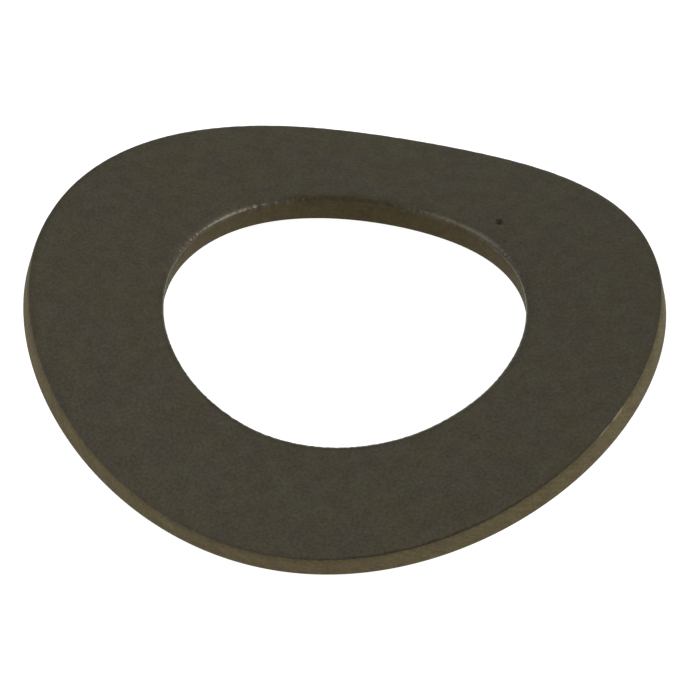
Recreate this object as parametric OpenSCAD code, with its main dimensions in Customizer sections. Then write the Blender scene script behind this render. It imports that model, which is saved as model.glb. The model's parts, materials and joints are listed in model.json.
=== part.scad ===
// Spring lock washer of the waved kind: one ring punched from spring steel strip,
// then set into a saddle with crests and valleys, so that it pushes back when it is clamped.
// The bore's axis is Z. The valleys rest on Z = 0, and the first crest lies on +X.

/* [Ring] */
// Outer diameter of the flat ring
outer_d = 15; // [12:0.1:24]
// Diameter of the bore
bore_d = 8.5; // [6.2:0.05:10]
// Thickness of the sheet, square to its face
thickness = 0.62; // [0.4:0.01:0.8]

/* [Wave] */
// Height of the washer when nothing presses on it
free_height = 2.32; // [1.2:0.01:3.2]
// Number of crests round the ring
crest_count = 2; // [2:1:4]

/* [Punched edges] */
// How far the upper outer edge is drawn down by the punch
outer_roll_depth = 0.05; // [0.02:0.01:0.15]
// How far in from the outer edge the sheet begins to draw down
outer_roll_width = 0.2; // [0.05:0.01:0.4]
// How far the upper edge of the bore is drawn down by the punch
bore_roll_depth = 0.12; // [0.02:0.01:0.15]
// How far out from the bore the sheet begins to draw down
bore_roll_width = 0.25; // [0.05:0.01:0.4]
// Flat broken on the lower edges, where the burr is tumbled off
lower_break = 0.04; // [0.01:0.01:0.1]

/* [Hidden] */

// How finely the bent sheet is divided: round the ring, across its face, and across a rolled edge
stations = 120;
face_spans = 4;
roll_spans = 3;
bore_facets = 120;

full_turn = 360;
outer_r = outer_d / 2;
bore_r = bore_d / 2;
half_t = thickness / 2;

// Height of the sheet's middle above its mean plane, at blank radius s and angle a
function wave_z(s, a, rise) = rise * pow(s / outer_r, 2) * cos(crest_count * a);

// A bent radius covers less ground: how far out blank radius s reaches in plan
function plan_r(s, a, rise) = s - 2 / 3 * pow(wave_z(s, a, rise), 2) / s;

// Unit normal of the sheet, as [outwards, round the ring, up]
function sheet_normal(s, a, rise) =
    let (
        slope_out = 2 * wave_z(s, a, rise) / s,
        slope_round = -crest_count * rise * s / pow(outer_r, 2) * sin(crest_count * a),
        n = [-slope_out, -slope_round, 1]
    )
    n / norm(n);

// Where a point of the flat ring goes: p is [blank radius, height in the sheet]
function bent(p, a, rise) =
    let (
        n = sheet_normal(p[0], a, rise),
        out = plan_r(p[0], a, rise) + p[1] * n[0],
        side = p[1] * n[1]
    )
    [
        out * cos(a) - side * sin(a),
        out * sin(a) + side * cos(a),
        wave_z(p[0], a, rise) + p[1] * n[2]
    ];

// The flat ring's bore is punched this much small, and the true bore is cut through the bent ring
trim_clearance = 0.02;
bore_stock = half_t * free_height * bore_r / pow(outer_r, 2) + trim_clearance;
punched_r = bore_r - bore_stock;

// Upper edge drawn down along a parabola: dir is 1 outside and -1 at the bore
function rolled_edge(wall_r, dir, width, depth, past) = [
    for (i = [0 : roll_spans])
        let (x = (width + past) * i / roll_spans)
        [wall_r + dir * (x - width), half_t - depth * pow(x / width, 2)]
];

// Evenly spaced points between two points, without its ends
function between(from, to, spans) = [for (i = [1 : spans - 1]) from + (to - from) * i / spans];

lower_inner = [bore_r + lower_break, -half_t];
lower_outer = [outer_r - lower_break, -half_t];
upper_outer = [outer_r - outer_roll_width, half_t];
upper_inner = [bore_r + bore_roll_width, half_t];
outer_roll = rolled_edge(outer_r, 1, outer_roll_width, outer_roll_depth, 0);
bore_roll = rolled_edge(bore_r, -1, bore_roll_width, bore_roll_depth, bore_stock);

// The flat ring's section, from the lower edge of the bore round by the outside
section = concat(
    [[punched_r, lower_break + bore_stock - half_t], lower_inner],
    between(lower_inner, lower_outer, face_spans),
    [lower_outer, [outer_r, lower_break - half_t]],
    [for (i = [roll_spans : -1 : 0]) outer_roll[i]],
    between(upper_outer, upper_inner, face_spans),
    bore_roll
);

// Height from the lowest point at a valley to the highest at a crest
valley = full_turn / crest_count / 2;
function lowest(rise) = min([for (p = section) bent(p, valley, rise)[2]]);
function highest(rise) = max([for (p = section) bent(p, 0, rise)[2]]);

// Rise of the wave that gives the free height, found by stepping towards it
settle_steps = 5;
function settled(rise, steps) =
    steps == 0 ? rise : settled(rise + (free_height - highest(rise) + lowest(rise)) / 2, steps - 1);
wave_rise = settled((free_height - thickness) / 2, settle_steps);

// The section carried round the wave, as one closed skin
module bent_ring() {
    count = len(section);
    function at(i, j) = (i % stations) * count + j % count;
    polyhedron(
        points = [
            for (i = [0 : stations - 1], p = section) bent(p, full_turn * i / stations, wave_rise)
        ],
        faces = [
            for (i = [0 : stations - 1], j = [0 : count - 1], corner = [0, 1])
                corner == 0
                    ? [at(i, j), at(i, j + 1), at(i + 1, j + 1)]
                    : [at(i, j), at(i + 1, j + 1), at(i + 1, j)]
        ]
    );
}

module spring_washer() {
    color("#44413a")
        translate([0, 0, -lowest(wave_rise)])
            difference() {
                bent_ring();
                // The cut starts halfway from a crest to a valley, where the sheet is at its mean height
                rotate([0, 0, valley / 2])
                    cylinder(h = 2 * free_height, r = bore_r, center = true, $fn = bore_facets);
            }
}

spring_washer();
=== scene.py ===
"""Spring lock washer of the waved kind, dressed as phosphated spring steel on a pale studio floor."""

import json
import math
from collections import namedtuple

import bmesh
import bpy
import numpy as np
from bpy.props import FloatProperty, FloatVectorProperty, IntProperty, PointerProperty
from mathutils import Matrix, Vector


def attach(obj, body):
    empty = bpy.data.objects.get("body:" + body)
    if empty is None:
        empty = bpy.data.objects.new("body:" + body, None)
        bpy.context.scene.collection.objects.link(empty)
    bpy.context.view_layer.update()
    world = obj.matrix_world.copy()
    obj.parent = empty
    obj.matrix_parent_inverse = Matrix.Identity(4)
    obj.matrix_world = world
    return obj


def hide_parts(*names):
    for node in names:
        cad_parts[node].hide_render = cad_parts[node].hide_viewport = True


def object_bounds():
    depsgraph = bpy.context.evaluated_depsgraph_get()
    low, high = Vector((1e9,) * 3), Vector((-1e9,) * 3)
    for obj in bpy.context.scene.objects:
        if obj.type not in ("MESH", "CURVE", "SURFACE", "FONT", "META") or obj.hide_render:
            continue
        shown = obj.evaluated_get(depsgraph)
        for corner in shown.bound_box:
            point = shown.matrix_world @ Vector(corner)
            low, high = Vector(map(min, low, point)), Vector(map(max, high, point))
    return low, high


bl_info = {
    "name": "Spring Lock Washer",
    "version": (1, 0, 0),
    "blender": (4, 5, 0),
    "location": "View3D > Sidebar > Washer",
    "description": "A waved spring washer of phosphated steel, with its studio",
    "category": "Add Mesh",
}

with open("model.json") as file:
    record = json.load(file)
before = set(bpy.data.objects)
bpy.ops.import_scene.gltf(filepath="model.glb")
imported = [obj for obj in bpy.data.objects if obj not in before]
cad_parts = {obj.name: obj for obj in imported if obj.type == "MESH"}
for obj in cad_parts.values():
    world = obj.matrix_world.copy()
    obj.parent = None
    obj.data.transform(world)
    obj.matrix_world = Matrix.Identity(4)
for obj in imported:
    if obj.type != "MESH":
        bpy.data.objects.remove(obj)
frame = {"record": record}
CAD_LOW, CAD_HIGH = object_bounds()

MM = 0.001
NODE = "spring_washer"
BODY = "root"
BORE = next(m for m in frame["record"]["mounts"] if m["name"] == "bore")

# The flat ring and its sheet, in millimetres
OUTER_R_MM, THICKNESS_MM = 7.5, 0.62

# Marks on the upper face, where they lie on the flat ring: place, radius and depth in mm, and how strongly
# their colour covers the coating's. The pit is a real dent whose bowl is painted dark as painted shade
Mark = namedtuple("Mark", "place radius depth strength")
PIT = Mark((2.993, 3.915), 0.1, 0.045, 1.0)
# Dark specks, and last a faint smudge
SPECKS = (
    Mark((2.975, 4.0), 0.085, 0, 0.8),
    Mark((3.251, 3.14), 0.045, 0, 0.6),
    Mark((3.658, 3.139), 0.04, 0, 0.55),
    Mark((-0.772, 5.819), 0.035, 0, 0.4),
    Mark((3.799, -3.627), 0.16, 0, 0.2),
)
# Two short lengths of the outer corner painted light, as painted highlights
GLEAMS = (Mark((6.98, -2.72), 0.27, 0, 0.42), Mark((6.76, -3.26), 0.22, 0, 0.32))
# Where the dark line of painted shade along the outer edge is darkest, and painted shade in brown on the far
# part of the bore's rolled edge
EDGE_SHADE_DARKEST = Mark((3.4, -6.68), 6.8, 0, 0.72)
BORE_SHADE = Mark((-0.65, 4.27), 2.2, 0, 0.5)


def linear(hex_colour):
    """Turns an sRGB hex colour into linear red, green, blue and a full alpha."""
    parts = [int(hex_colour[i : i + 2], 16) / 255 for i in (1, 3, 5)]
    return (*(p / 12.92 if p <= 0.04045 else ((p + 0.055) / 1.055) ** 2.4 for p in parts), 1.0)


class WasherSizes(bpy.types.PropertyGroup):
    """Real sizes of the washer, in metres."""

    outer_d: FloatProperty(
        name="Outer diameter", description="Of the flat ring", default=2 * OUTER_R_MM * MM, unit="LENGTH"
    )
    bore_d: FloatProperty(
        name="Bore", description="Diameter of the hole", default=2 * BORE["dims"]["r_mm"] * MM, unit="LENGTH"
    )
    thickness: FloatProperty(
        name="Thickness", description="Of the sheet", default=THICKNESS_MM * MM, unit="LENGTH"
    )
    free_height: FloatProperty(
        name="Free height",
        description="Height with nothing pressing on it",
        default=CAD_HIGH.z - CAD_LOW.z,
        unit="LENGTH",
    )
    outer_roll_width: FloatProperty(
        name="Outer roll width",
        description="How far in the outer edge is drawn down",
        default=0.2 * MM,
        unit="LENGTH",
    )
    outer_roll_depth: FloatProperty(
        name="Outer roll depth",
        description="How far down the outer edge is drawn",
        default=0.05 * MM,
        unit="LENGTH",
    )
    bore_roll_width: FloatProperty(
        name="Bore roll width",
        description="How far out the bore's edge is drawn down",
        default=0.25 * MM,
        unit="LENGTH",
    )
    bore_roll_depth: FloatProperty(
        name="Bore roll depth",
        description="How far down the bore's edge is drawn",
        default=0.12 * MM,
        unit="LENGTH",
    )
    lower_break: FloatProperty(
        name="Lower break", description="Size of the tumbled lower edges", default=0.04 * MM, unit="LENGTH"
    )
    crests: IntProperty(name="Crests", description="Number of crests round the ring", default=2, min=2, max=4)
    stations: IntProperty(name="Stations", description="Steps round the ring", default=1080, min=90, max=1440)


class WasherFinish(bpy.types.PropertyGroup):
    """Colours of the finish."""

    face: FloatVectorProperty(
        name="Face",
        description="Matte phosphate on the faces",
        default=linear("#423E35"),
        size=4,
        subtype="COLOR",
    )
    face_warm: FloatVectorProperty(
        name="Warm patches",
        description="Where the oil has dried brown",
        default=linear("#433F32"),
        size=4,
        subtype="COLOR",
    )
    sheared: FloatVectorProperty(
        name="Sheared wall",
        description="Outer wall left by the punch",
        default=linear("#49412B"),
        size=4,
        subtype="COLOR",
    )
    sheared_light: FloatVectorProperty(
        name="Ridges",
        description="Ridges of the sheared walls",
        default=linear("#5A5039"),
        size=4,
        subtype="COLOR",
    )
    # Also the colour of the painted shade on the far part of the bore's rolled edge
    bore_wall: FloatVectorProperty(
        name="Bore wall",
        description="Wall of the bore",
        default=linear("#3E3622"),
        size=4,
        subtype="COLOR",
    )
    face_green: FloatVectorProperty(
        name="Green patches",
        description="Where the phosphate is thin",
        default=linear("#403E33"),
        size=4,
        subtype="COLOR",
    )
    sheen: FloatVectorProperty(
        name="Oil",
        description="Tint of what the oily coating mirrors",
        default=linear("#FFF7DF"),
        size=4,
        subtype="COLOR",
    )
    # Painted highlight on two short lengths of the outer corner
    corner_highlight: FloatVectorProperty(
        name="Worn corner",
        description="Steel that shows through",
        default=linear("#8C8570"),
        size=4,
        subtype="COLOR",
    )
    # Painted shade: the dark line along the outer edge and the pit's bowl; also the colour of the real dark
    # specks
    shade_and_specks: FloatVectorProperty(
        name="Edge line",
        description="Dark line where the punch first bit",
        default=linear("#281F14"),
        size=4,
        subtype="COLOR",
    )


class WasherStudio(bpy.types.PropertyGroup):
    """Where the camera stands and how bright the studio is, where a radiance of 1 shows white."""

    azimuth: FloatProperty(
        name="Azimuth", description="Of the camera", default=math.radians(10.06), subtype="ANGLE"
    )
    elevation: FloatProperty(
        name="Elevation", description="Of the camera", default=math.radians(42.08), subtype="ANGLE"
    )
    tilt: FloatProperty(
        name="Tilt", description="Roll of the camera", default=math.radians(1.64), subtype="ANGLE"
    )
    distance: FloatProperty(
        name="Distance", description="From camera to washer", default=145.05 * MM, unit="LENGTH"
    )
    key: FloatProperty(name="Right softbox", description="Its radiance", default=16.0)
    fill: FloatProperty(name="Left softbox", description="Its radiance", default=3.0)
    glow: FloatProperty(name="Glow", description="Radiance of the opal sheet", default=0.95)


def deselect_all():
    """Clears the selection, which the frame leaves full."""
    if bpy.context.object and bpy.context.object.mode != "OBJECT":
        bpy.ops.object.mode_set(mode="OBJECT")
    bpy.ops.object.select_all(action="DESELECT")


def add(tree, kind, inputs=None, output=None, **settings):
    """Adds a node with its settings, feeds its sockets values or other nodes' outputs, returns one output."""
    node = tree.nodes.new(kind)
    for name, value in settings.items():
        setattr(node, name, value)
    for key, value in (inputs or {}).items():
        if isinstance(value, bpy.types.NodeSocket):
            tree.links.new(value, node.inputs[key])
        else:
            node.inputs[key].default_value = value
    return node if output is None else node.outputs[output]


# Shape of the ring

# Points closer than this are the same, in metres
SNAP = 1e-7
# Rows across the upper face, a rolled edge, a wall, the underside, a lower break and the pit
FACE_ROWS, ROLL_ROWS, WALL_ROWS, UNDER_ROWS, BREAK_ROWS, PIT_ROWS = 20, 8, 9, 9, 3, 7
# The walls' rows start this many roll depths down, and crowd towards the top by this power
WALL_START, WALL_CROWDING = 1.5, 1.5
# How far out the pit's rows go, in its radii, and the power that rounds its bowl
PIT_SPREAD, PIT_BOWL = 1.5, 1.5
# Edges sharper than this show as edges
SMOOTH_ANGLE = math.radians(35)
# How often the wave's rise is corrected towards the free height
SETTLE_STEPS = 5
# Shares of their depth by which the drawn edges swell and are toothed, and the waves to the turn of each
SWELL, SWELL_WAVES = 0.1, (2, 14)
TEETH, TEETH_WAVES = 0.07, (60, 220)
# Seeds of what varies at random outside and at the bore, and the most waves that any of it is made of
OUTER_SEED, BORE_SEED, MOST_WAVES = 3, 5, 40
# How far the upper corners are worn back outside and at the bore, and how far down the wall that reaches
OUTER_WEAR, BORE_WEAR, WEAR_DEPTH = 0.03 * MM, 0.02 * MM, 0.13 * MM
# The set isn't quite even: a second wave, twice as many to the turn, this high and this far round
UNEVEN, UNEVEN_PHASE = 0.0485 * MM, math.radians(134.3)
# Height of the ridges that the punch leaves on the walls, how much of it they have at the top already,
# and how many waves to the turn they have at the top and at the foot
RIDGE, RIDGE_AT_TOP = 0.0012 * MM, 0.3
TOP_WAVES, FOOT_WAVES = (150, 400), (120, 420)
# Streaks lean this far round the ring for each step in from the edge, and are drawn out by 1 / STREAK_RUN
STREAK_SLANT, STREAK_RUN = 1.2, 0.15


def pick_edges(ring, wanted):
    """Selects the edges whose middle passes the test, and no others."""
    shape = bmesh.from_edit_mesh(ring.data)
    for edge in shape.edges:
        edge.select_set(wanted((edge.verts[0].co + edge.verts[1].co) / 2))
    bmesh.update_edit_mesh(ring.data)


def divide(ring, wanted, places, normal):
    """Cuts the wanted edges of the outline across at each place."""
    for place in places:
        pick_edges(ring, wanted)
        bpy.ops.mesh.bisect(plane_co=place * normal, plane_no=normal, threshold=SNAP)


def punch_ring(sizes):
    """Draws the strip's section in the XZ plane and turns it once round the bore's axis."""
    outer_r, bore_r, half_t = sizes.outer_d / 2, sizes.bore_d / 2, sizes.thickness / 2
    deselect_all()
    bpy.ops.mesh.primitive_plane_add(
        size=1.0, location=((outer_r + bore_r) / 2, 0, 0), rotation=(math.pi / 2, 0, 0)
    )
    ring = bpy.context.active_object
    ring.name = ring.data.name = "phosphated_washer"
    ring.scale = (outer_r - bore_r, sizes.thickness, 1)
    bpy.ops.object.transform_apply(location=True, rotation=True, scale=True)
    bpy.ops.object.mode_set(mode="EDIT")
    bpy.ops.mesh.select_mode(type="VERT")
    bpy.ops.mesh.select_all(action="DESELECT")
    outline = bmesh.from_edit_mesh(ring.data)
    for corner in outline.verts:
        corner.select_set(corner.co.z < 0)
    bmesh.update_edit_mesh(ring.data)
    bpy.ops.mesh.bevel(offset=sizes.lower_break, segments=BREAK_ROWS, affect="VERTICES")
    bpy.ops.mesh.select_all(action="SELECT")
    bpy.ops.mesh.delete(type="ONLY_FACE")
    bpy.ops.mesh.select_mode(type="EDGE")

    inner, outer = bore_r + sizes.bore_roll_width, outer_r - sizes.outer_roll_width
    radii = list(np.linspace(bore_r, inner, ROLL_ROWS, endpoint=False)[1:])
    radii += list(np.linspace(inner, outer, FACE_ROWS + 1))
    radii += list(np.linspace(outer, outer_r, ROLL_ROWS, endpoint=False)[1:])
    spread = np.linspace(-PIT_SPREAD, PIT_SPREAD, PIT_ROWS)
    radii += list(math.hypot(*PIT.place) * MM + PIT.radius * MM * spread)
    divide(ring, lambda middle: middle.z > half_t - SNAP, radii, Vector((1, 0, 0)))
    under = np.linspace(bore_r + sizes.lower_break, outer_r - sizes.lower_break, UNDER_ROWS + 1)[1:-1]
    divide(ring, lambda middle: middle.z < SNAP - half_t, under, Vector((1, 0, 0)))
    for wall_r, depth in ((bore_r, sizes.bore_roll_depth), (outer_r, sizes.outer_roll_depth)):
        top = half_t - WALL_START * depth
        down = np.linspace(0, 1, WALL_ROWS, endpoint=False) ** WALL_CROWDING
        heights = top - (top + half_t - sizes.lower_break) * down
        divide(ring, lambda middle: abs(middle.x - wall_r) < SNAP, heights, Vector((0, 0, 1)))
    bpy.ops.object.mode_set(mode="OBJECT")

    turn = ring.modifiers.new("round the bore", "SCREW")
    turn.axis = "Z"
    turn.angle = 2 * math.pi
    turn.steps = turn.render_steps = sizes.stations
    turn.use_merge_vertices = True
    turn.merge_threshold = SNAP
    turn.use_normal_calculate = True
    bpy.ops.object.modifier_apply(modifier=turn.name)
    bpy.ops.object.mode_set(mode="EDIT")
    bpy.ops.mesh.select_all(action="SELECT")
    bpy.ops.mesh.normals_make_consistent(inside=False)
    bpy.ops.object.mode_set(mode="OBJECT")
    return ring


def wander(angle, slowest, fastest, seed):
    """Smooth random variation round the ring, about -1 to 1, that closes on itself."""
    random = np.random.default_rng(seed)
    turns = np.unique(np.geomspace(slowest, fastest, MOST_WAVES).astype(int))
    total = np.zeros_like(angle)
    for turn in turns:
        total += np.sin(turn * angle + random.uniform(0, 2 * math.pi))
    return total / math.sqrt(len(turns) * 2)


def read_points(mesh):
    """The mesh's vertices as an array."""
    flat = np.empty(len(mesh.vertices) * 3)
    mesh.vertices.foreach_get("co", flat)
    return flat.reshape(-1, 3)


def write_points(mesh, points):
    """Puts an array back as the mesh's vertices."""
    mesh.vertices.foreach_set("co", points.astype(np.float32).ravel())
    mesh.update()


def polar(points):
    """Radius, angle and height of each point of the flat ring."""
    return np.hypot(points[:, 0], points[:, 1]), np.arctan2(points[:, 1], points[:, 0]), points[:, 2]


def store(mesh, name, values):
    """Keeps a number or a vector for each vertex, for the finish to read."""
    kind, field = ("FLOAT", "value") if values.ndim == 1 else ("FLOAT_VECTOR", "vector")
    mesh.attributes.new(name, kind, "POINT").data.foreach_set(field, values.astype(np.float32).ravel())


def draw_down_edges(mesh, sizes):
    """Rolls the upper edges down as the punch does, wears their corners, and ridges the sheared walls."""
    outer_r, bore_r, half_t = sizes.outer_d / 2, sizes.bore_d / 2, sizes.thickness / 2
    radius, angle, w = polar(read_points(mesh))
    upper = w > half_t - SNAP
    lip, twisted, wall_radius = np.zeros_like(radius), angle.copy(), radius.copy()
    for wall_r, inwards, width, depth, wear, seed in (
        (outer_r, -1, sizes.outer_roll_width, sizes.outer_roll_depth, OUTER_WEAR, OUTER_SEED),
        (bore_r, 1, sizes.bore_roll_width, sizes.bore_roll_depth, BORE_WEAR, BORE_SEED),
    ):
        inward = (radius - wall_r) * inwards
        near = inward < (outer_r - bore_r) / 2
        swell, teeth = wander(angle, *SWELL_WAVES, seed), wander(angle, *TEETH_WAVES, seed + 1)
        uneven = 1 + SWELL * swell + TEETH * teeth
        w = np.where(upper & near, w - depth * uneven * np.clip(1 - inward / width, 0, 1) ** 2, w)
        below = half_t - depth * uneven - w
        side = near & ~upper & (inward < sizes.lower_break - SNAP)
        edge = near & upper & (inward < SNAP)
        lip = np.where(near, np.where(side, -below, inward), lip)
        wall = (side & (inward < SNAP)) | edge
        share = np.clip(below / sizes.thickness, 0, 1)
        at_top, at_foot = wander(angle, *TOP_WAVES, seed + 2), wander(angle, *FOOT_WAVES, seed + 3)
        ridges = at_top * (1 - share) + at_foot * share
        push = wear * np.clip(1 - below / WEAR_DEPTH, 0, 1) ** 2 + RIDGE * (RIDGE_AT_TOP + share) * ridges
        radius = np.where(wall, radius + inwards * push, radius)
        twisted = np.where(near, angle + STREAK_SLANT * lip / wall_r, twisted)
        wall_radius = np.where(near, wall_r, wall_radius)
    reach = np.hypot(radius * np.cos(angle) - PIT.place[0] * MM, radius * np.sin(angle) - PIT.place[1] * MM)
    bowl = np.clip(1 - (reach / PIT.radius / MM) ** 2, 0, 1) ** PIT_BOWL
    w = np.where(upper, w - PIT.depth * MM * bowl, w)
    flat = np.stack([radius * np.cos(angle), radius * np.sin(angle), w], axis=1)
    write_points(mesh, flat)
    store(mesh, "flat_place", flat / MM)
    store(mesh, "lip", lip / MM)
    along = np.stack([wall_radius * np.cos(twisted), wall_radius * np.sin(twisted), STREAK_RUN * lip], axis=1)
    store(mesh, "along_edge", along / MM)


def saddle(flat, sizes, rise):
    """Where the flat ring's points go when it is set: each keeps its place in the sheet."""
    outer_r, n = sizes.outer_d / 2, sizes.crests
    s, a, w = polar(flat)
    z = (s / outer_r) ** 2 * (rise * np.cos(n * a) + UNEVEN * np.cos(2 * n * a - UNEVEN_PHASE))
    slope_out = 2 * z / s
    turning = rise * np.sin(n * a) + 2 * UNEVEN * np.sin(2 * n * a - UNEVEN_PHASE)
    slope_round = -n * turning * s / outer_r**2
    steep = np.sqrt(slope_out**2 + slope_round**2 + 1)
    out = s - 2 / 3 * z**2 / s - w * slope_out / steep
    side = -w * slope_round / steep
    return np.stack(
        [out * np.cos(a) - side * np.sin(a), out * np.sin(a) + side * np.cos(a), z + w / steep], axis=1
    )


def set_wave(mesh, sizes):
    """Presses the flat ring into its saddle at the free height, with its valleys on the floor."""
    flat = read_points(mesh)
    rise = (sizes.free_height - sizes.thickness) / 2
    for _ in range(SETTLE_STEPS):
        points = saddle(flat, sizes, rise)
        rise += (sizes.free_height - np.ptp(points[:, 2])) / 2
    points = saddle(flat, sizes, rise)
    points[:, 2] -= points[:, 2].min()
    write_points(mesh, points)


# Finish: sizes in millimetres

# Size and detail of each pattern: the coating's crystals, the punch's streaks, the ragged edges, the patches
# of oil and the mottling. Crystals and streaks have the size of the coarsest real ones, so that they show.
Pattern = namedtuple("Pattern", "size detail")
CRYSTALS, STREAKS, RAGGED = Pattern(0.075, 1.5), Pattern(0.09, 2.0), Pattern(0.2, 3.0)
PATCHES, MOTTLE = Pattern(1.1, 1.0), Pattern(0.4, 1.0)
PATTERN_ROUGHNESS = 0.6
# How much lighter or darker the crystals and the mottling make the coating
SPECKLE, MOTTLED = 0.21, 0.08
# How much of their own colours the green patches and the walls' ridges show at most
GREEN_MOST, RIDGES_MOST = 0.4, 0.4
# Where in its pattern, from 0 to 1, each of these starts and is full
WARM_SPAN, GREEN_SPAN, RIDGES_SPAN = (0.35, 0.65), (0.5, 0.7), (0.35, 0.65)
SPECKLE_SPAN, MOTTLED_SPAN = (0.2, 0.8), (0.25, 0.75)
# How far in and out the ragged pattern moves the edges of the finish
RAGGEDNESS = 0.08
# How far in from the edge each of these starts and is full: a wall's colour, the painted shade by the bore,
# the burnish of a rolled edge, and the burnish again where it ends below the corner
WALL_SPAN, BORE_SHADE_SPAN, ROLLED_SPAN, CORNER_SPAN = (0.01, -0.02), (0.32, 0.12), (0.22, 0.08), (-0.05, -0.01)
# Half the width over which the finish of the bore's side turns into that of the outer side
MIDDLE_HALF = 0.1
# The dark line of painted shade along the outer edge: how far in it lies, half its width, and how strong it
# is at least
LINE_PLACE, LINE_HALF, LINE_LEAST = 0.035, 0.065, 0.06
# Half the width of the painted highlight on the corner, and the share of it, and of the reach of the painted
# shade by the bore, where each is full
GLEAM_HALF, GLEAM_FULL, BORE_SHADE_FULL = 0.05, 0.3, 0.4
# How far out, in its radii, a small mark starts and is full
MARK_START, MARK_FULL = 1.6, 1.1
# The rolled edges are rubbed smoother than the faces, and partly through to the steel, the outer one less
FACE_ROUGHNESS, ROLL_ROUGHNESS, ROLL_METAL, OUTER_BURNISH = 0.86, 0.36, 0.38, 0.4
# Streaks stand this many times as high as the crystals, which the bump shows at this strength and height
STREAK_RELIEF, BUMP_STRENGTH, BUMP_HEIGHT = 3.0, 0.4, 0.004 * MM
# The dry coating mirrors half as much as a smooth one would
SPECULAR_LEVEL = 0.25


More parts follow.
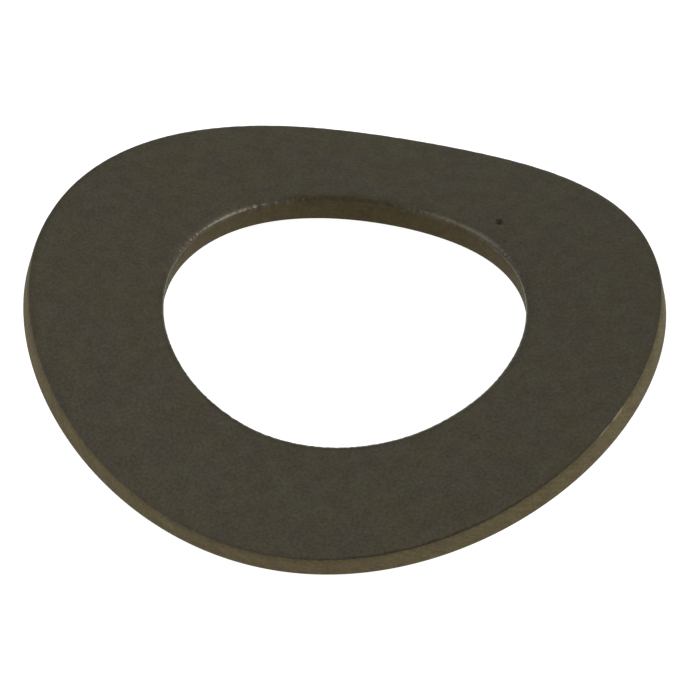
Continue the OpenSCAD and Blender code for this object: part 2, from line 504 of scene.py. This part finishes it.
def phosphated_steel(finish):
    """Hardened spring strip, punched, set, then phosphated and oiled: a matte, near-black brown.

    The coating's crystals are 0.02 to 0.08 mm, so they show only as a faint speckle, and the oil
    dries in patches about 1 mm across. The walls are browner, and painted shade of the same brown lies
    on the far part of the bore's rolled edge. A dark line of painted shade runs along the outer edge,
    darkest on the near side, the pit's bowl is painted dark as painted shade, and two short lengths of
    the outer corner carry a painted highlight. Both rolled edges are burnished, with streaks the way
    the punch went.
    """
    material = bpy.data.materials.new("phosphated spring steel")
    material.use_nodes = True
    tree = material.node_tree
    tree.nodes.clear()
    place = add(tree, "ShaderNodeAttribute", None, "Vector", attribute_name="flat_place")
    along = add(tree, "ShaderNodeAttribute", None, "Vector", attribute_name="along_edge")
    lip = add(tree, "ShaderNodeAttribute", None, "Fac", attribute_name="lip")
    crystals, streaks, ragged, patches, mottle = (
        add(
            tree,
            "ShaderNodeTexNoise",
            {
                "Vector": where,
                "Scale": 1 / pattern.size,
                "Detail": pattern.detail,
                "Roughness": PATTERN_ROUGHNESS,
            },
            "Fac",
        )
        for where, pattern in (
            (place, CRYSTALS),
            (along, STREAKS),
            (place, RAGGED),
            (place, PATCHES),
            (place, MOTTLE),
        )
    )

    # Distance in from the edge, made ragged: above zero on the face, and below zero down the wall
    ragged = add(tree, "ShaderNodeMath", {0: ragged, 1: 0.5}, 0, operation="SUBTRACT")
    edge = add(tree, "ShaderNodeMath", {0: ragged, 1: RAGGEDNESS, 2: lip}, 0, operation="MULTIPLY_ADD")
    from_line = add(tree, "ShaderNodeMath", {0: edge, 1: LINE_PLACE}, 0, operation="SUBTRACT")
    from_line = add(tree, "ShaderNodeMath", {0: from_line}, 0, operation="ABSOLUTE")
    from_corner = add(tree, "ShaderNodeMath", {0: lip}, 0, operation="ABSOLUTE")
    from_mark = {
        mark: add(
            tree,
            "ShaderNodeVectorMath",
            {0: place, 1: (*mark.place, THICKNESS_MM / 2)},
            "Value",
            operation="DISTANCE",
        )
        for mark in (PIT, *SPECKS, *GLEAMS, EDGE_SHADE_DARKEST, BORE_SHADE)
    }
    radius = add(tree, "ShaderNodeVectorMath", {0: place}, "Value", operation="LENGTH")
    middle = (BORE["dims"]["r_mm"] + OUTER_R_MM) / 2

    # Where each thing shows: a value, where it starts, where it is full, and its least and most
    spans = {
        "outside": (radius, middle - MIDDLE_HALF, middle + MIDDLE_HALF, 0, 1),
        "wall": (edge, *WALL_SPAN, 0, 1),
        "line": (from_line, LINE_HALF, 0, 0, 1),
        "strongest": (from_mark[EDGE_SHADE_DARKEST], EDGE_SHADE_DARKEST.radius, 0, LINE_LEAST, EDGE_SHADE_DARKEST.strength),
        "corner": (from_corner, GLEAM_HALF, GLEAM_FULL * GLEAM_HALF, 0, 1),
        "by bore": (edge, *BORE_SHADE_SPAN, 0, 1),
        "bore shade": (from_mark[BORE_SHADE], BORE_SHADE.radius, BORE_SHADE_FULL * BORE_SHADE.radius, 0, BORE_SHADE.strength),
        "rolled": (edge, *ROLLED_SPAN, 0, 1),
        "past corner": (edge, *CORNER_SPAN, 0, 1),
        "warm": (patches, *WARM_SPAN, 0, 1),
        "green": (mottle, *GREEN_SPAN, 0, GREEN_MOST),
        "ridges": (streaks, *RIDGES_SPAN, 0, RIDGES_MOST),
        "speckle": (crystals, *SPECKLE_SPAN, 1 - SPECKLE, 1 + SPECKLE),
        "mottled": (mottle, *MOTTLED_SPAN, 1 - MOTTLED, 1 + MOTTLED),
    }
    shows = {
        name: add(
            tree,
            "ShaderNodeMapRange",
            {"Value": value, "From Min": start, "From Max": full, "To Min": least, "To Max": most},
            "Result",
            interpolation_type="SMOOTHSTEP",
        )
        for name, (value, start, full, least, most) in spans.items()
    }
    inside = add(tree, "ShaderNodeMath", {0: 1.0, 1: shows["outside"]}, 0, operation="SUBTRACT")
    streaked = add(tree, "ShaderNodeMath", {0: streaks, 1: shows["rolled"]}, 0, operation="MULTIPLY")
    by_side = {0: inside, 1: 1 - OUTER_BURNISH, 2: OUTER_BURNISH}
    burnished = add(tree, "ShaderNodeMath", by_side, 0, operation="MULTIPLY_ADD")
    sheared, bored, line, brown, grain, burnished = (
        add(tree, "ShaderNodeMath", {0: first, 1: second}, 0, operation="MULTIPLY")
        for first, second in (
            (shows["wall"], shows["outside"]),
            (shows["wall"], inside),
            (shows["line"], shows["outside"]),
            (shows["by bore"], shows["bore shade"]),
            (shows["speckle"], shows["mottled"]),
            (burnished, shows["rolled"]),
        )
    )
    ridges, line, brown, burnished = (
        add(tree, "ShaderNodeMath", {0: first, 1: second}, 0, operation="MULTIPLY")
        for first, second in (
            (shows["ridges"], sheared),
            (line, shows["strongest"]),
            (brown, inside),
            (burnished, shows["past corner"]),
        )
    )

    # brown is painted shade on the far part of the bore's rolled edge, and line is painted shade along the
    # outer edge
    layers = [
        (shows["warm"], finish.face_warm[:]),
        (shows["green"], finish.face_green[:]),
        (brown, finish.bore_wall[:]),
        (bored, finish.bore_wall[:]),
        (sheared, finish.sheared[:]),
        (ridges, finish.sheared_light[:]),
        (line, finish.shade_and_specks[:]),
    ]
    # The pit's dark is painted shade in its bowl, the specks are real dark marks, and the gleams are painted
    # highlights
    for mark in (PIT, *SPECKS, *GLEAMS):
        noise = {0: crystals, 1: mark.radius, 2: from_mark[mark]}
        reach = add(tree, "ShaderNodeMath", noise, 0, operation="MULTIPLY_ADD")
        ends = {
            "Value": reach,
            "From Min": MARK_START * mark.radius,
            "From Max": MARK_FULL * mark.radius,
            "To Max": mark.strength,
        }
        share = add(tree, "ShaderNodeMapRange", ends, "Result")
        if mark in GLEAMS:
            share = add(tree, "ShaderNodeMath", {0: share, 1: shows["corner"]}, 0, operation="MULTIPLY")
        layers.append((share, finish.corner_highlight[:] if mark in GLEAMS else finish.shade_and_specks[:]))
    colour = finish.face[:]
    for share, shade in layers:
        colour = add(tree, "ShaderNodeMix", {0: share, 6: colour, 7: shade}, 2, data_type="RGBA")
    grained = {0: 1.0, 6: colour, 7: grain}
    colour = add(tree, "ShaderNodeMix", grained, 2, data_type="RGBA", blend_type="MULTIPLY")

    smoother = {"Value": burnished, "To Min": FACE_ROUGHNESS, "To Max": ROLL_ROUGHNESS}
    roughness = add(tree, "ShaderNodeMapRange", smoother, "Result")
    metal = add(tree, "ShaderNodeMath", {0: burnished, 1: ROLL_METAL}, 0, operation="MULTIPLY")
    raised = {0: streaked, 1: STREAK_RELIEF, 2: crystals}
    relief = add(tree, "ShaderNodeMath", raised, 0, operation="MULTIPLY_ADD")
    bumps = {"Strength": BUMP_STRENGTH, "Distance": BUMP_HEIGHT, "Height": relief}
    bump = add(tree, "ShaderNodeBump", bumps, "Normal")
    dressing = {
        "Base Color": colour,
        "Metallic": metal,
        "Roughness": roughness,
        "Specular IOR Level": SPECULAR_LEVEL,
        "Specular Tint": finish.sheen[:],
        "Normal": bump,
    }
    shader = add(tree, "ShaderNodeBsdfPrincipled", dressing, "BSDF")
    add(tree, "ShaderNodeOutputMaterial", {"Surface": shader})
    return material


# The opal sheet's own colour and roughness, and how wide it lies, in metres
OPAL, OPAL_ROUGHNESS, SHEET_WIDTH = "#A0A0A0", 0.9, 4.0


def opal_sheet(glow):
    """Opal acrylic over a light table: a matte pale sheet whose glow takes up the washer's shadow."""
    material = bpy.data.materials.new("opal acrylic")
    material.use_nodes = True
    shader = material.node_tree.nodes["Principled BSDF"]
    shader.inputs["Base Color"].default_value = linear(OPAL)
    shader.inputs["Roughness"].default_value = OPAL_ROUGHNESS
    shader.inputs["Emission Color"].default_value = linear("#FFFFFF")
    shader.inputs["Emission Strength"].default_value = glow
    return material


# Studio

# Softboxes: how far round from the camera and how high they hang, then distance, width and height in metres
Softbox = namedtuple("Softbox", "azimuth elevation distance width height")
RIGHT_BOX = Softbox(math.radians(91), math.radians(29), 0.5, 0.13, 0.24)
LEFT_BOX = Softbox(math.radians(-109), math.radians(42), 0.5, 0.2, 0.4)
# Radiance of the walls at the horizon and overhead, and the height, from 0 to 1, from which it is the latter
HORIZON, ZENITH, ZENITH_FROM = 0.7, 0.56, 0.9
# Lobes of the walls' light: how far round from the camera and how high they lie, how near to that direction
# each starts and is full, as a cosine, and what it multiplies the light by
Lobe = namedtuple("Lobe", "azimuth elevation start full share")
OVERHEAD = Lobe(0.0, math.radians(66), 0.75, 0.95, 0.3)
BEYOND = Lobe(math.pi, math.radians(10), 0.3, 0.95, 0.15)
WINDOW = Lobe(math.radians(-55), math.radians(30), 0.4, 0.95, 2.0)


def towards(azimuth, elevation):
    """Direction from the washer to something at that azimuth, where 0 is the side of -Y, and elevation."""
    level = math.cos(elevation)
    return Vector((math.sin(azimuth) * level, -math.cos(azimuth) * level, math.sin(elevation)))


def hang_softbox(name, box, azimuth, radiance):
    """An upright soft light that looks at the washer, seen from a camera at that azimuth."""
    light = bpy.data.lights.new(name, "AREA")
    light.shape = "RECTANGLE"
    light.size, light.size_y = box.width, box.height
    light.energy = radiance * math.pi * box.width * box.height
    lamp = bpy.data.objects.new(name, light)
    bpy.context.scene.collection.objects.link(lamp)
    direction = towards(azimuth + box.azimuth, box.elevation)
    lamp.location = direction * box.distance
    lamp.rotation_euler = direction.to_track_quat("Z", "Y").to_euler()


def studio_walls(azimuth):
    """Soft light from all round, brighter at the walls than overhead, for a camera at that azimuth."""
    world = bpy.data.worlds.new("studio walls")
    bpy.context.scene.world = world
    world.use_nodes = True
    tree = world.node_tree
    tree.nodes.clear()
    where = add(tree, "ShaderNodeTexCoord", None, "Generated")
    up = add(tree, "ShaderNodeSeparateXYZ", {"Vector": where}, "Z")
    ends = {"Value": up, "From Min": 0.0, "From Max": ZENITH_FROM, "To Min": HORIZON, "To Max": ZENITH}
    shade = add(tree, "ShaderNodeMapRange", ends, "Result")
    for lobe in (OVERHEAD, BEYOND, WINDOW):
        direction = towards(azimuth + lobe.azimuth, lobe.elevation)
        facing = add(tree, "ShaderNodeVectorMath", {0: where, 1: direction}, "Value", operation="DOT_PRODUCT")
        ends = {
            "Value": facing,
            "From Min": lobe.start,
            "From Max": lobe.full,
            "To Min": 1.0,
            "To Max": lobe.share,
        }
        change = add(tree, "ShaderNodeMapRange", ends, "Result", interpolation_type="SMOOTHSTEP")
        shade = add(tree, "ShaderNodeMath", {0: shade, 1: change}, 0, operation="MULTIPLY")
    sky = add(tree, "ShaderNodeBackground", {"Strength": shade}, "Background")
    add(tree, "ShaderNodeOutputWorld", {"Surface": sky})


# Width of the picture in pixels, and of the camera's sensor in millimetres
PICTURE, SENSOR = 700, 36.0
# Where the picture shows the middle of the wave's mean plane, and how many pixels the outer radius is there
MIDDLE_X, MIDDLE_Y, OUTER_R_PIXELS = 344.5, 319.9, 320.65
PIXELS_PER_M = OUTER_R_PIXELS / (OUTER_R_MM * MM)
# Height of the wave's mean plane over the floor
MEAN_HEIGHT = 1.205 * MM
# The camera sees from its distance divided by the first to its distance times the second
NEAR, FAR = 20, 100


def place_camera(studio, centre):
    """Stands the camera at the picture's own angle, so that centre lands on its own pixel."""
    azimuth, roll = studio.azimuth, studio.tilt
    back = towards(azimuth, studio.elevation)
    level = Vector((math.cos(azimuth), math.sin(azimuth), 0))
    rise = back.cross(level)
    right = level * math.cos(roll) + rise * math.sin(roll)
    up = back.cross(right)
    data = bpy.data.cameras.new("camera")
    data.sensor_width = SENSOR
    data.lens = PIXELS_PER_M * studio.distance / PICTURE * SENSOR
    data.shift_x, data.shift_y = 0.5 - MIDDLE_X / PICTURE, MIDDLE_Y / PICTURE - 0.5
    data.clip_start, data.clip_end = studio.distance / NEAR, studio.distance * FAR
    camera = bpy.data.objects.new("camera", data)
    bpy.context.scene.collection.objects.link(camera)
    turn = Matrix((right, up, back)).transposed().to_4x4()
    camera.matrix_world = Matrix.Translation(centre + back * studio.distance) @ turn
    bpy.context.scene.camera = camera


class WASHER_OT_ring(bpy.types.Operator):
    """Punch, roll and set the washer, and give it its finish"""

    bl_idname = "washer.ring"
    bl_label = "Washer"

    def execute(self, context):
        sizes = context.scene.washer_sizes
        ring = punch_ring(sizes)
        draw_down_edges(ring.data, sizes)
        set_wave(ring.data, sizes)
        bpy.ops.object.shade_smooth_by_angle(angle=SMOOTH_ANGLE)
        ring.data.materials.append(phosphated_steel(context.scene.washer_finish))
        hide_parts(NODE)
        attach(ring, BODY)
        return {"FINISHED"}


class WASHER_OT_stage(bpy.types.Operator):
    """Lay the opal sheet, hang the lights and stand the camera"""

    bl_idname = "washer.stage"
    bl_label = "Studio"

    def execute(self, context):
        studio = context.scene.washer_studio
        deselect_all()
        bpy.ops.mesh.primitive_plane_add(size=SHEET_WIDTH)
        floor = bpy.context.active_object
        floor.name = "opal_sheet"
        floor.data.materials.append(opal_sheet(studio.glow))
        hang_softbox("softbox right", RIGHT_BOX, studio.azimuth, studio.key)
        hang_softbox("softbox left", LEFT_BOX, studio.azimuth, studio.fill)
        studio_walls(studio.azimuth)
        place_camera(studio, Vector((0, 0, MEAN_HEIGHT)))
        context.scene.view_settings.view_transform = "Standard"
        return {"FINISHED"}


class WASHER_PT_panel(bpy.types.Panel):
    """Sizes, colours and studio of the washer"""

    bl_label = "Spring Lock Washer"
    bl_idname = "WASHER_PT_panel"
    bl_space_type = "VIEW_3D"
    bl_region_type = "UI"
    bl_category = "Washer"

    def draw(self, context):
        for group in (context.scene.washer_sizes, context.scene.washer_finish, context.scene.washer_studio):
            box = self.layout.box()
            for name in group.__annotations__:
                box.prop(group, name)
        self.layout.operator(WASHER_OT_stage.bl_idname)
        self.layout.operator(WASHER_OT_ring.bl_idname)


CLASSES = (WasherSizes, WasherFinish, WasherStudio, WASHER_OT_ring, WASHER_OT_stage, WASHER_PT_panel)


def register():
    for cls in CLASSES:
        bpy.utils.register_class(cls)
    bpy.types.Scene.washer_sizes = PointerProperty(type=WasherSizes)
    bpy.types.Scene.washer_finish = PointerProperty(type=WasherFinish)
    bpy.types.Scene.washer_studio = PointerProperty(type=WasherStudio)


def unregister():
    del bpy.types.Scene.washer_studio, bpy.types.Scene.washer_finish, bpy.types.Scene.washer_sizes
    for cls in reversed(CLASSES):
        bpy.utils.unregister_class(cls)


def main():
    """Makes the studio and the washer."""
    register()
    bpy.ops.washer.stage()
    bpy.ops.washer.ring()


if __name__ == "__main__":
    main()
